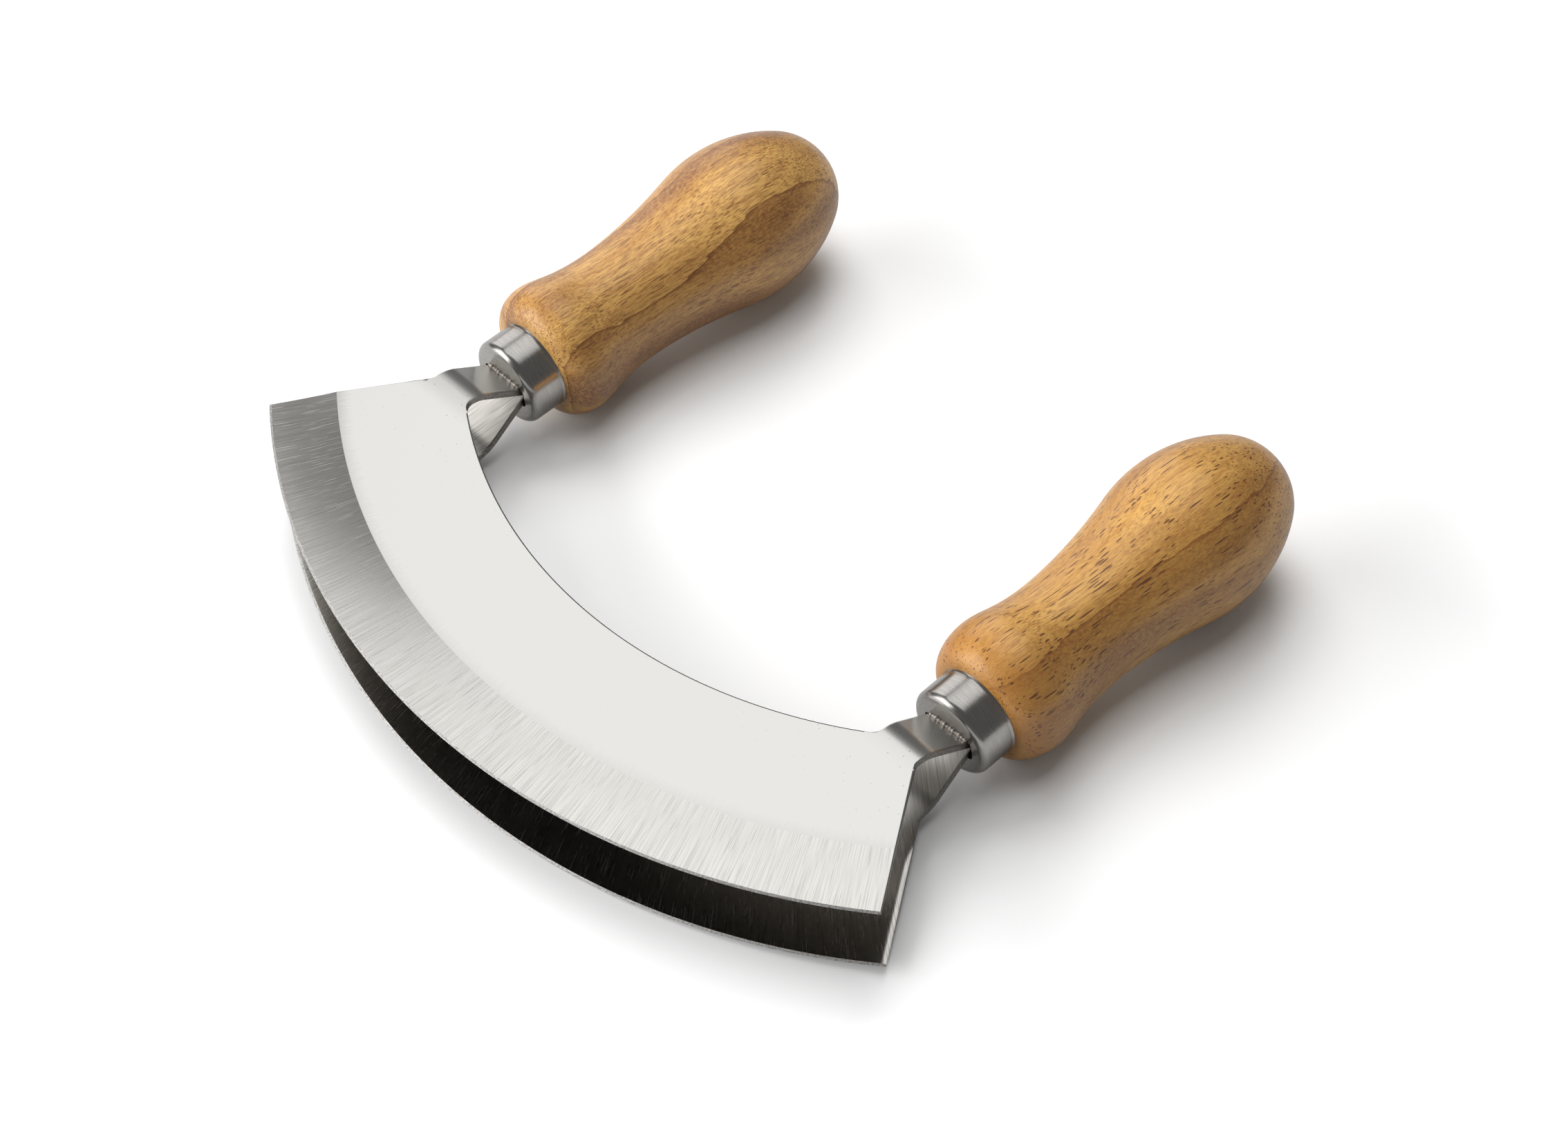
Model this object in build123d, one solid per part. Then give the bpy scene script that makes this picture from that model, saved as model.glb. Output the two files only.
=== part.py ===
from build123d import *
import math
import os

# Double-bladed mezzaluna, lying on its side on a table.
# It is drawn in the tool's own frame first: X along the blades, Y from the blades to the handles,
# Z up, with the flat plane halfway between the two blades at zero and the centre of the cutting
# edge's arc at the origin. Everything is then tipped by a few degrees, so that it stands on the belly
# of the lower blade and on a handle, and moved so that the origin is at the middle of the footprint.
# Lengths are in millimetres and angles in degrees.

# Blade blank
edge_radius = 149.0
edge_half_angle = 37.2
blade_depth = 39.4
spine_centre_drop = 3.4
spine_radius = edge_radius - blade_depth - spine_centre_drop
end_edge_lean = 35.0
sheet = 1.5
spine_fillet = 3.0
kink_fillet = 1.6

# Grinding of the edge
bevel_width = 14.0
hollow_depth = 0.12
edge_land = 0.5
land_thickness = 0.5
apex_height = 0.25

# Stance of the two blades
edge_half_gap = 9.3
blade_splay = 1.38

# Necks and tangs, in stations along a handle's axis that start at the ferrule's front face
neck_width = 10.4
neck_run = 10.1
neck_drop_top = 2.4
neck_bend_radius = 7.5
tang_bend_radius = 1.5
tang_width = 6.4
tang_neck_end = 1.8
tang_shoulder_end = 4.8
tang_point_start = 33.0
tang_end = 40.0
tang_tip_width = 2.6

# Handle stance, set out from the blade's lowest point and from its end corners
ferrule_height = 71.5
corner_overhang = 24.82
handle_lean = 0.9
ferrule_front_drop = edge_radius - ferrule_height
handle_half_spread = edge_radius * math.sin(math.radians(edge_half_angle)) - corner_overhang

# Ferrule
ferrule_radius = 9.65
ferrule_length = 8.0
ferrule_wall = 0.8
ferrule_rim_round = 1.6
ferrule_bore_round = 0.8
lip_width = 0.7
lip_flare = 0.2
slot_side_room = 1.0
slot_height_room = 0.15
slot_corner = 1.2

# Turned handle: its shoulder rises from the face to a crest, from which the grip's stations start
shoulder_depths = {"right": 9.0, "left": 6.2}
face_radius = 10.2
shoulder_radius = 14.9
fall_station = 6.5
fall_radius = 13.8
waist_station = 22.0
waist_radius = 13.05
grip_length = 74.6
dome_length = 24.8
bulb_station = grip_length - dome_length
bulb_radius = 17.1
bulb_lead = 8.0
nose_radius = 13.9
fit_line = 0.05
spigot_length = 5.8

# Bore for the tangs and its resin bed
bore_radius = 3.9
bore_mouth_radius = 5.9
bore_mouth_depth = 3.2
bore_depth = 40.0
drill_point_depth = 1.6
resin_front_gap = 0.5
resin_bore_line = 0.05

# One overrun serves every cutting tool
overrun = 4.0
quarter_turn = 90.0
tilt_fineness = 1e-9

sides = {"right": 1, "left": -1}


def unit(angle):
    """Direction in the YZ plane at an angle above +Y."""
    return Vector(0, math.cos(math.radians(angle)), math.sin(math.radians(angle)))


def crossing(point_a, direction_a, point_b, direction_b):
    """Point of the YZ plane where two lines cross."""
    gap = point_b - point_a
    turn = direction_a.Y * direction_b.Z - direction_a.Z * direction_b.Y
    along = (gap.Y * direction_b.Z - gap.Z * direction_b.Y) / turn
    return point_a + direction_a * along


def offset_line(point, direction, distance):
    """A point of the line that lies a distance to the left of the given one in the YZ plane."""
    return point + Vector(0, -direction.Z, direction.Y) * distance


# The blade's own flat frame: its inner face is the plane's zero, and it splays outwards to the edge
splay_up = Vector(0, math.sin(math.radians(blade_splay)), math.cos(math.radians(blade_splay)))
arc_centre_height = (
    edge_half_gap - apex_height * splay_up.Z - edge_radius * math.sin(math.radians(blade_splay))
)
blade_plane = Plane(origin=(0, 0, arc_centre_height), x_dir=(1, 0, 0), z_dir=splay_up)


def handle_frame(side):
    """Frame of a handle: Y runs along its axis from the ferrule's front face to the nose."""
    return Location((side * handle_half_spread, -ferrule_front_drop, 0)) * Rot(Z=side * handle_lean)


def neck_corner(side, across, along):
    """Plan position of a point given across and along a handle's axis."""
    return (handle_frame(side) * Location((side * across, along, 0))).position


def end_edge_kink():
    """Plan point where the straight end edge of the crescent meets the outer side of the neck."""
    corner_angle = math.radians(edge_half_angle)
    corner = Vector(edge_radius * math.sin(corner_angle), -edge_radius * math.cos(corner_angle), 0)
    rise = math.radians(end_edge_lean)
    edge_direction = Vector(-math.sin(rise), math.cos(rise), 0)
    side_point = neck_corner(1, neck_width / 2, 0)
    lean = math.radians(handle_lean)
    side_direction = Vector(-math.sin(lean), math.cos(lean), 0)
    gap = side_point - corner
    turn = edge_direction.X * side_direction.Y - edge_direction.Y * side_direction.X
    along = (gap.X * side_direction.Y - gap.Y * side_direction.X) / turn
    return corner, corner + edge_direction * along, edge_direction


def neck_outline(side):
    """Plan of one neck with its tang: full width from the level of the blade's end corners through the
    ferrule's face, then stepped in."""
    root = ferrule_front_drop - edge_radius * math.cos(math.radians(edge_half_angle))
    stations = [
        (neck_width / 2, root),
        (neck_width / 2, tang_neck_end),
        (tang_width / 2, tang_shoulder_end),
        (tang_width / 2, tang_point_start),
        (tang_tip_width / 2, tang_end),
    ]
    outer = [neck_corner(side, across, along) for across, along in stations]
    inner = [neck_corner(side, -across, along) for across, along in reversed(stations)]
    return make_face(Polyline(*outer, *inner, close=True))


def blade_outline():
    """Flat plan of the blade: crescent with a soft kink into each neck and a filleted spine."""
    corner, kink, edge_direction = end_edge_kink()
    beyond = corner - edge_direction * (edge_radius - spine_radius)
    crescent = make_face(
        Polyline(
            neck_corner(-1, -neck_width / 2, -neck_run),
            (-kink.X, kink.Y),
            (-beyond.X, beyond.Y),
            (beyond.X, beyond.Y),
            (kink.X, kink.Y),
            neck_corner(1, -neck_width / 2, -neck_run),
            close=True,
        )
    )
    crescent &= Circle(edge_radius + overrun)
    between_necks = Rectangle(2 * handle_half_spread, 2 * edge_radius)
    crescent -= (Pos(0, -spine_centre_drop) * Circle(spine_radius)) & between_necks
    outline = crescent + neck_outline(1) + neck_outline(-1)
    for side in sides.values():
        kink_point = Vector(side * kink.X, kink.Y, 0)
        nearest = outline.vertices().sort_by_distance(kink_point)[0]
        outline = fillet(nearest, kink_fillet)
    root_x = neck_corner(1, -neck_width / 2, -neck_run).X
    root_y = -spine_centre_drop - math.sqrt(spine_radius**2 - root_x**2)
    for side in sides.values():
        nearest = outline.vertices().sort_by_distance(Vector(side * root_x, root_y, 0))[0]
        outline = fillet(nearest, spine_fillet)
    return outline


def sheet_profile():
    """Side view of the upper blade's bent sheet: flat blade, slanted neck, tang on the mid-plane."""
    plate_direction = unit(-blade_splay)
    plate_inner = blade_plane.origin
    plate_outer = offset_line(plate_inner, plate_direction, sheet)
    bend_y = -ferrule_front_drop - neck_run
    bend_outer = crossing(plate_outer, plate_direction, Vector(0, bend_y, 0), Vector(0, 0, 1))
    at_ferrule = Vector(0, -ferrule_front_drop, neck_drop_top)
    slant_direction = (at_ferrule - bend_outer).normalized()
    slant_inner = offset_line(bend_outer, slant_direction, -sheet)
    tang_direction = Vector(0, 1, 0)
    tang_bend_outer = crossing(bend_outer, slant_direction, Vector(0, 0, sheet), tang_direction)
    tang_bend_inner = crossing(slant_inner, slant_direction, Vector(0, 0, 0), tang_direction)
    bend_inner = crossing(plate_inner, plate_direction, slant_inner, slant_direction)
    front = -plate_direction * (edge_radius + overrun)
    back_y = -ferrule_front_drop + tang_end + overrun
    profile = make_face(
        Polyline(
            plate_inner + front,
            bend_inner,
            tang_bend_inner,
            Vector(0, back_y, 0),
            Vector(0, back_y, sheet),
            tang_bend_outer,
            bend_outer,
            plate_outer + front,
            close=True,
        )
    )
    for point, radius in (
        (bend_outer, neck_bend_radius + sheet),
        (bend_inner, neck_bend_radius),
        (tang_bend_outer, tang_bend_radius),
        (tang_bend_inner, tang_bend_radius + sheet),
    ):
        profile = fillet(profile.vertices().sort_by_distance(point)[0], radius)
    return profile


def grinding_ring():
    """Ring that hollow-grinds the broad outer bevel, and cuts the two fine lands that meet at the edge."""
    shoulder = Vector(edge_radius - bevel_width, 0, sheet)
    land = Vector(edge_radius - edge_land, 0, land_thickness)
    run = (land - shoulder).normalized()
    hollow = (shoulder + land) / 2 + Vector(run.Z, 0, -run.X) * hollow_depth
    section = [
        ThreePointArc(shoulder, hollow, land),
        Polyline(
            land,
            (edge_radius, 0, apex_height),
            (edge_radius - edge_land, 0, 0),
            (edge_radius - edge_land, 0, -overrun),
            (edge_radius + 2 * overrun, 0, -overrun),
            (edge_radius + 2 * overrun, 0, sheet + overrun),
            (edge_radius - bevel_width, 0, sheet + overrun),
            shoulder,
        ),
    ]
    return revolve(make_face(section), Axis.Z)


def upper_blade():
    """One sheet blank: bent in side view, cut to its plan, then ground."""
    half_width = edge_radius
    bent = extrude(sheet_profile(), amount=half_width, both=True)
    height = edge_radius
    cut = blade_plane * extrude(blade_outline(), amount=height, both=True)
    return (bent & cut) - blade_plane * grinding_ring()


def tang_pair(blades):
    """The two blades as one cutting tool for the resin."""
    return blades["upper_blade"] + blades["lower_blade"]


def spigot_start():
    """Station of the spigot's front face."""
    return ferrule_length + fit_line - spigot_length


def ferrule():
    """Drawn cup: flat front face, rolled rim, flared rear lip, slot for the two necks."""
    lip_start = ferrule_length - lip_width
    bore = ferrule_radius - ferrule_wall
    rim_centre = (ferrule_radius - ferrule_rim_round, ferrule_rim_round)
    bore_corner = (bore - ferrule_bore_round, ferrule_wall + ferrule_bore_round)
    outside = [
        Line((0, 0), (ferrule_radius - ferrule_rim_round, 0)),
        CenterArc(rim_centre, ferrule_rim_round, -quarter_turn, quarter_turn),
        Line((ferrule_radius, ferrule_rim_round), (ferrule_radius, lip_start)),
        Spline(
            (ferrule_radius, lip_start),
            (ferrule_radius + lip_flare, ferrule_length),
            tangents=((0, 1), (lip_flare, lip_width / 2)),
        ),
    ]
    inside = [
        Line((ferrule_radius + lip_flare, ferrule_length), (bore, ferrule_length)),
        Line((bore, ferrule_length), (bore, ferrule_wall + ferrule_bore_round)),
        CenterArc(bore_corner, ferrule_bore_round, 0, -quarter_turn),
        Line((bore - ferrule_bore_round, ferrule_wall), (0, ferrule_wall)),
        Line((0, ferrule_wall), (0, 0)),
    ]
    cup = revolve(make_face(outside + inside), Axis.Y)
    slot_width = neck_width + 2 * slot_side_room
    slot_height = 2 * (neck_drop_top + slot_height_room)
    slot = extrude(RectangleRounded(slot_width, slot_height, slot_corner), amount=ferrule_wall + overrun)
    return cup - Pos(0, -overrun, 0) * Rot(X=-quarter_turn) * slot


def bulb_round():
    """Radius of the arc over the bulb that runs smoothly into the nose's smaller arc."""
    chord = dome_length**2 + bulb_radius**2
    return (chord - 2 * dome_length * nose_radius) / (2 * (bulb_radius - nose_radius))


def bore_outline(radius_line, start):
    """Half outline of the tang bore, as points from its mouth to the drill point."""
    mouth = spigot_start()
    return [
        (bore_mouth_radius - radius_line, start),
        (bore_mouth_radius - radius_line, mouth),
        (bore_radius - radius_line, mouth + bore_mouth_depth),
        (bore_radius - radius_line, mouth + bore_depth),
        (0, mouth + bore_depth + drill_point_depth),
    ]


def handle(shoulder_depth):
    """Turned handle: spigot, rounded shoulder, waist, bulb and nose, with a blind bore."""
    face = ferrule_length + fit_line
    spigot_radius = ferrule_radius - ferrule_wall - fit_line
    crest = face + shoulder_depth
    bulb = crest + bulb_station
    nose = crest + grip_length
    arc = bulb_round()
    lead_radius = bulb_radius - arc + math.sqrt(arc**2 - bulb_lead**2)
    lead_slope = bulb_lead / math.sqrt(arc**2 - bulb_lead**2)
    arc_centre = Vector(bulb_radius - arc, bulb)
    nose_centre = Vector(0, nose - nose_radius)
    outward = (nose_centre - arc_centre).normalized()
    joint = nose_centre + outward * nose_radius
    nose_angle = math.atan2(outward.Y, outward.X)
    middle_angle = (nose_angle + math.pi / 2) / 2
    nose_middle = nose_centre + Vector(math.cos(middle_angle), math.sin(middle_angle)) * nose_radius
    outside = [
        Line((spigot_radius, spigot_start()), (spigot_radius, face)),
        Line((spigot_radius, face), (face_radius, face)),
        EllipticalCenterArc(
            (face_radius, crest),
            shoulder_radius - face_radius,
            shoulder_depth,
            start_angle=-quarter_turn,
            arc_size=quarter_turn,
        ),
        Spline(
            (shoulder_radius, crest),
            (fall_radius, crest + fall_station),
            (waist_radius, crest + waist_station),
            (lead_radius, bulb - bulb_lead),
            tangents=((0, 1), (lead_slope, 1)),
        ),
        ThreePointArc((lead_radius, bulb - bulb_lead), (bulb_radius, bulb), joint),
        ThreePointArc(joint, nose_middle, (0, nose)),
    ]
    bore = bore_outline(0, spigot_start())
    inside = [
        Line((0, nose), bore[-1]),
        Polyline(*reversed(bore[1:])),
        Line(bore[1], (spigot_radius, spigot_start())),
    ]
    return revolve(make_face(outside + inside), Axis.Y)


def resin_bed():
    """Resin in the cup's bottom and in the bore, before the tangs are taken out of it."""
    front = ferrule_wall + resin_front_gap
    cup_radius = ferrule_radius - ferrule_wall - ferrule_bore_round - resin_bore_line
    back = spigot_start() - resin_bore_line
    bore = bore_outline(resin_bore_line, back)
    outline = [(0, front), (cup_radius, front), (cup_radius, back), *bore, (0, front)]
    return revolve(make_face(Polyline(*outline)), Axis.Y)


def blade_feet():
    """Points of the upper blade's belly that stand out furthest: edge, land's corner and bevel's shoulder."""
    corners = [(0, apex_height), (edge_land, land_thickness), (bevel_width, sheet)]
    return [blade_plane.from_local_coords((0, inset - edge_radius, height)) for inset, height in corners]


def belly_height(tilt):
    """Height of the lower blade's lowest point over the arc's centre, when the tool is tipped by an angle."""
    sine, cosine = math.sin(math.radians(tilt)), math.cos(math.radians(tilt))
    return min(foot.Y * sine - foot.Z * cosine for foot in blade_feet())


def handle_height(shoulder_depth, tilt):
    """The same for a handle: the lower of its elliptic shoulder and its bulb's arc."""
    sine, cosine = math.sin(math.radians(tilt)), math.cos(math.radians(tilt))
    along = math.cos(math.radians(handle_lean))
    crest = ferrule_length + fit_line + shoulder_depth
    middle = crest * along - ferrule_front_drop
    reach = math.hypot((shoulder_radius - face_radius) * cosine, shoulder_depth * sine)
    shoulder = middle * sine - face_radius * cosine - reach
    middle = (crest + bulb_station) * along - ferrule_front_drop
    bulb = middle * sine + (bulb_round() - bulb_radius) * cosine - bulb_round()
    return min(shoulder, bulb)


def table_tilt():
    """Angle at which the lower blade's belly and the lower handle touch one table, found by halving."""
    low, high = 0.0, quarter_turn / 2
    while high - low > tilt_fineness:
        middle = (low + high) / 2
        handles = min(handle_height(depth, middle) for depth in shoulder_depths.values())
        if belly_height(middle) > handles:
            low = middle
        else:
            high = middle
    return high


def table_place():
    """Tips the tool onto the table and puts the origin under the middle of its footprint."""
    tilt = table_tilt()
    tip = Rot(X=tilt)
    edge = blade_feet()[0]
    front = (tip * Location((0, edge.Y, edge.Z))).position.Y
    crest = ferrule_length + fit_line + max(shoulder_depths.values())
    nose = (tip * handle_frame(1) * Location((0, crest + grip_length - nose_radius, 0))).position.Y
    return Pos(0, -(front + nose + nose_radius) / 2, -belly_height(tilt)) * tip


def build():
    """All pieces in the tool's frame, then set down on the table."""
    pieces = {"upper_blade": upper_blade()}
    pieces["lower_blade"] = mirror(pieces["upper_blade"], about=Plane.XY)
    tangs = tang_pair(pieces)
    for name, side in sides.items():
        place = handle_frame(side)
        pieces[f"{name}_ferrule"] = place * ferrule()
        pieces[f"{name}_handle"] = place * handle(shoulder_depths[name])
        pieces[f"{name}_tang_glue"] = place * resin_bed() - tangs
    return {name: table_place() * piece for name, piece in pieces.items()}


os.makedirs("parts", exist_ok=True)
for name, piece in build().items():
    export_step(piece, f"parts/{name}.step")
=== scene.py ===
"""Looks of the double-bladed mezzaluna: its surfaces, steel and wood finishes, light and camera, built
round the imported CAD."""

import math

import bmesh
import bpy
import numpy as np
from mathutils import Matrix, Vector


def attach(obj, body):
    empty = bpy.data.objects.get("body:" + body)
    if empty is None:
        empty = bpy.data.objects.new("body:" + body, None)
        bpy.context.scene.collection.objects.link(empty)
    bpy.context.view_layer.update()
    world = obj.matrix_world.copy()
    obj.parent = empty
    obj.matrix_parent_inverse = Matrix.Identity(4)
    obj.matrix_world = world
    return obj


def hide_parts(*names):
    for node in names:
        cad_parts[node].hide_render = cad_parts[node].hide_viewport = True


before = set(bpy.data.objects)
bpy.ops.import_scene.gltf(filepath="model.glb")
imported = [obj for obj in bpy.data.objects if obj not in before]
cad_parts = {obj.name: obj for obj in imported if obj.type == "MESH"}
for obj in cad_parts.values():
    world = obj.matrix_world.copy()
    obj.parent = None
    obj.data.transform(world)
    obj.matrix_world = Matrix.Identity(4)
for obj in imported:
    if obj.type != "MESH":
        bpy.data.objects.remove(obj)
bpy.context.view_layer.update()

# The tool's own frame, as in the CAD: X along the blades, Y towards the handles, Z up, in millimetres,
# with the centre of the cutting edge's arc at the origin. It is tipped and set down on the table last.
MM = 0.001
table_tilt = math.radians(3.6123841775)
table_shift = np.array([0.0, 67.5504225, 18.871889])

# The smooth surfaces are drawn in by this share, to stay inside the CAD's faceted ones
box_middle = np.array([0.0, 0.0, 17.664])
inset_share = 0.0004

# Blade blank, its grinding and its stance
edge_radius = 149.0
edge_half_angle = math.radians(37.2)
spine_radius = 106.2
spine_centre_drop = 3.4
end_edge_lean = math.radians(35.0)
sheet = 1.5
spine_fillet = 3.0
kink_fillet = 1.6
bevel_width = 14.0
hollow_depth = 0.12
edge_land = 0.5
land_thickness = 0.5
apex_height = 0.25
roll_depth = 0.22
roll_width = 1.5
roll_fade = 12.0
break_width = 0.28
break_depth = 0.12
edge_half_gap = 9.3
blade_splay = math.radians(1.38)
arc_centre_height = (
    edge_half_gap - apex_height * math.cos(blade_splay) - edge_radius * math.sin(blade_splay)
)

# Necks and tangs, in stations along a handle's axis that start at the ferrule's front face
neck_width = 10.4
neck_run = 10.1
neck_drop_top = 2.4
neck_bend_radius = 7.5
tang_bend_radius = 1.5
tang_width = 6.4
tang_neck_end = 1.8
tang_shoulder_end = 4.8
tang_point_start = 33.0
tang_end = 40.0
tang_tip_width = 2.6

# Handle stance and ferrule
ferrule_height = 71.5
corner_overhang = 24.82
handle_lean = math.radians(0.9)
ferrule_front_drop = edge_radius - ferrule_height
handle_half_spread = edge_radius * math.sin(edge_half_angle) - corner_overhang
neck_bend = -ferrule_front_drop - neck_run
ferrule_radius = 9.65
ferrule_length = 8.0
ferrule_wall = 0.8
ferrule_rim_round = 1.6
ferrule_bore_round = 0.8
lip_width = 0.7
lip_flare = 0.2
slot_side_room = 1.0
slot_height_room = 0.15
slot_corner = 1.2
bead_radius = 0.5
bead_reach = 4.9
bead_flat_share = 0.6
bead_proud_share = 0.2
bead_lift_share = 0.6

# Where before the necks' bend the polish gives way to satin and the pits start, and the ragged end of the
# bevel's scratches on the polished flat
satin_lead = 8.0
satin_end = 1.0
pitted_lead = 26.0
ragged_reach = 7.0
ragged_before = 2.5
ragged_after = 0.5

# Wood: width of a growth ring, and the stretch before and after the crest that soaked up more lacquer
ring_step = 19.0
soak_before = 5.0
soak_after = 3.0

# Turned handle: its shoulder rises from the face to a crest, from which the grip's stations start
shoulder_depths = {"right": 9.0, "left": 6.2}
face_radius = 10.2
shoulder_radius = 14.9
fall_station = 6.5
fall_radius = 13.8
waist_station = 22.0
waist_radius = 13.05
grip_length = 74.6
dome_length = 24.8
bulb_station = grip_length - dome_length
bulb_radius = 17.1
bulb_lead = 8.0
nose_radius = 13.9
fit_line = 0.05
spigot_length = 5.8
bore_radius = 3.9
bore_mouth_radius = 5.9
bore_mouth_depth = 3.2
bore_depth = 40.0
drill_point_depth = 1.6

sides = {"right": 1, "left": -1}

# Fineness of the meshes, and the gap in metres under which points are one
root_columns = 24
root_share = 0.085
root_crowding = 1.4
root_drop = 0.35
arc_steps = 24
spine_steps = 200
slot_steps = 32
face_rows = 8
rim_rows = 16
grip_rows = 60
bead_rows = 160
bead_columns = 24
spine_columns = 260
bevel_rows = 14
flat_rows = 22
neck_rows = 130
tang_rows = 24
ring_columns = 240
handle_columns = 192
weld_gap = 2e-8


def on_table(points):
    """Turns points of the tool's frame by the table tilt about X and shifts them, draws them in towards the
    box's middle by the inset's share, and scales them to metres."""
    cos, sin = math.cos(table_tilt), math.sin(table_tilt)
    turn = np.array([[1.0, 0.0, 0.0], [0.0, cos, -sin], [0.0, sin, cos]])
    placed = points @ turn.T + table_shift - box_middle
    return (box_middle + placed * (1 - inset_share)) * MM


def in_blade(points, up):
    """Blade's flat frame to the tool's frame: tips by the splay about X, lifts by the arc centre's height,
    and mirrors about the mid-plane for the lower blade, for which up is minus one."""
    cos, sin = math.cos(blade_splay), math.sin(blade_splay)
    x, y, z = points[..., 0], points[..., 1], points[..., 2]
    lifted = arc_centre_height - y * sin + z * cos
    return np.stack([x, y * cos + z * sin, up * lifted], axis=-1)


def along_handle(points, side):
    """Handle's frame (across, along, up) to the tool's frame: turns by the lean about Z, then shifts to the
    ferrule's front."""
    cos, sin = math.cos(side * handle_lean), math.sin(side * handle_lean)
    across, along, up = points[..., 0], points[..., 1], points[..., 2]
    x = side * handle_half_spread + across * cos - along * sin
    y = -ferrule_front_drop + across * sin + along * cos
    return np.stack([x, y, up], axis=-1)


def rounded(points, radii):
    """Polyline whose inner corners give way to arcs: each arc starts radius * tan(half the turn) before its
    corner, and is centre + radius * (sin(a) * heading - cos(a) * inward), for a from zero to the turn."""
    points = np.asarray(points, float)
    line = [points[:1]]
    for before, corner, after, radius in zip(points, points[1:], points[2:], radii):
        heading = (corner - before) / np.linalg.norm(corner - before)
        leaving = (after - corner) / np.linalg.norm(after - corner)
        left = np.array([-heading[1], heading[0]])
        inward = left if left @ leaving > 0 else -left
        turn = math.atan2(inward @ leaving, heading @ leaving)
        start = corner - heading * radius * math.tan(turn / 2)
        a = np.linspace(0, turn, arc_steps)[:, None]
        line.append(start + radius * (inward + np.sin(a) * heading - np.cos(a) * inward))
    return np.concatenate([*line, points[-1:]])


def crossing(point_a, direction_a, point_b, direction_b):
    """Point where two lines of a plane cross: point_a + direction_a * t, with t from Cramer's rule."""
    gap = point_b - point_a
    turn = direction_a[0] * direction_b[1] - direction_a[1] * direction_b[0]
    return point_a + direction_a * (gap[0] * direction_b[1] - gap[1] * direction_b[0]) / turn


def sheet_lines():
    """Side view of the bent sheet's outer and inner faces, as height over place in the blade's flat frame:
    straight plate, slanted neck and level tang, with both bends rounded about one centre each."""
    plate = np.array([math.cos(blade_splay), -math.sin(blade_splay)])
    plate_up = np.array([math.sin(blade_splay), math.cos(blade_splay)])
    level = np.array([1.0, 0.0])
    inner_start = np.array([0.0, arc_centre_height])
    outer_start = inner_start + plate_up * sheet
    bend_place = np.array([-ferrule_front_drop - neck_run, 0.0])
    bend_outer = crossing(outer_start, plate, bend_place, np.array([0.0, 1.0]))
    slant = np.array([-ferrule_front_drop, neck_drop_top]) - bend_outer
    slant /= np.linalg.norm(slant)
    slant_inner = bend_outer - sheet * np.array([-slant[1], slant[0]])
    tang_outer = crossing(bend_outer, slant, np.array([0.0, sheet]), level)
    tang_inner = crossing(slant_inner, slant, np.zeros(2), level)
    bend_inner = crossing(inner_start, plate, slant_inner, slant)
    lines = []
    for start, first, second, radii in (
        (outer_start, bend_outer, tang_outer, (neck_bend_radius + sheet, tang_bend_radius)),
        (inner_start, bend_inner, tang_inner, (neck_bend_radius, tang_bend_radius + sheet)),
    ):
        end = np.array([-ferrule_front_drop + tang_end * 2, second[1]])
        line = rounded([start - plate * edge_radius * 2, first, second, end], radii)
        offset = line - inner_start
        lines.append(np.stack([offset @ plate, offset @ plate_up], axis=-1))
    return lines


def plan_lines():
    """Plan of the right end of the blank: its outer line (end edge, kink, neck side, tang side) and its inner
    line (spine arc, fillet, neck side, tang side), both rising in Y."""
    corner = edge_radius * np.array([math.sin(edge_half_angle), -math.cos(edge_half_angle)])
    rising = np.array([-math.sin(end_edge_lean), math.cos(end_edge_lean)])
    stations = np.array(
        [
            (neck_width / 2, 0.0),
            (neck_width / 2, tang_neck_end),
            (tang_width / 2, tang_shoulder_end),
            (tang_width / 2, tang_point_start),
            (tang_tip_width / 2, tang_end),
        ]
    )
    flat = np.zeros((len(stations), 1))
    outer_side = along_handle(np.hstack([stations, flat]), 1)[:, :2]
    inner_side = along_handle(np.hstack([stations * (-1, 1), flat]), 1)[:, :2]
    side = outer_side[1] - outer_side[0]
    side /= np.linalg.norm(side)
    kink = crossing(corner, rising, outer_side[0], side)
    outer = rounded([corner, kink, *outer_side[1:]], [kink_fillet, 0, 0, 0])
    across = np.array([side[1], -side[0]])
    spine_centre = np.array([0.0, -spine_centre_drop])
    reach = (inner_side[0] - spine_centre) @ across - spine_fillet
    rise = math.sqrt((spine_radius - spine_fillet) ** 2 - reach**2)
    fillet_centre = spine_centre + across * reach - side * rise
    from_centre = fillet_centre - spine_centre
    spine_angle = math.atan2(from_centre[0], -from_centre[1])
    a = np.linspace(0, spine_angle, spine_steps)[:, None]
    spine = spine_centre + spine_radius * np.hstack([np.sin(a), -np.cos(a)])
    side_angle = math.atan2(across[0], -across[1])
    a = np.linspace(spine_angle, side_angle, arc_steps)[1:, None]
    fillet = fillet_centre + spine_fillet * np.hstack([np.sin(a), -np.cos(a)])
    inner = np.concatenate([spine, fillet, inner_side[1:]])
    return outer, inner, spine[-1, 1] - root_drop


def end_angle(radius):
    """Angle at which the straight end edge meets a circle about the arc's centre."""
    along = edge_radius * math.cos(edge_half_angle - end_edge_lean)
    step = along - np.sqrt(along**2 - edge_radius**2 + radius**2)
    x = edge_radius * math.sin(edge_half_angle) - step * math.sin(end_edge_lean)
    y = -edge_radius * math.cos(edge_half_angle) + step * math.cos(end_edge_lean)
    return np.arctan2(x, -y)


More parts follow.
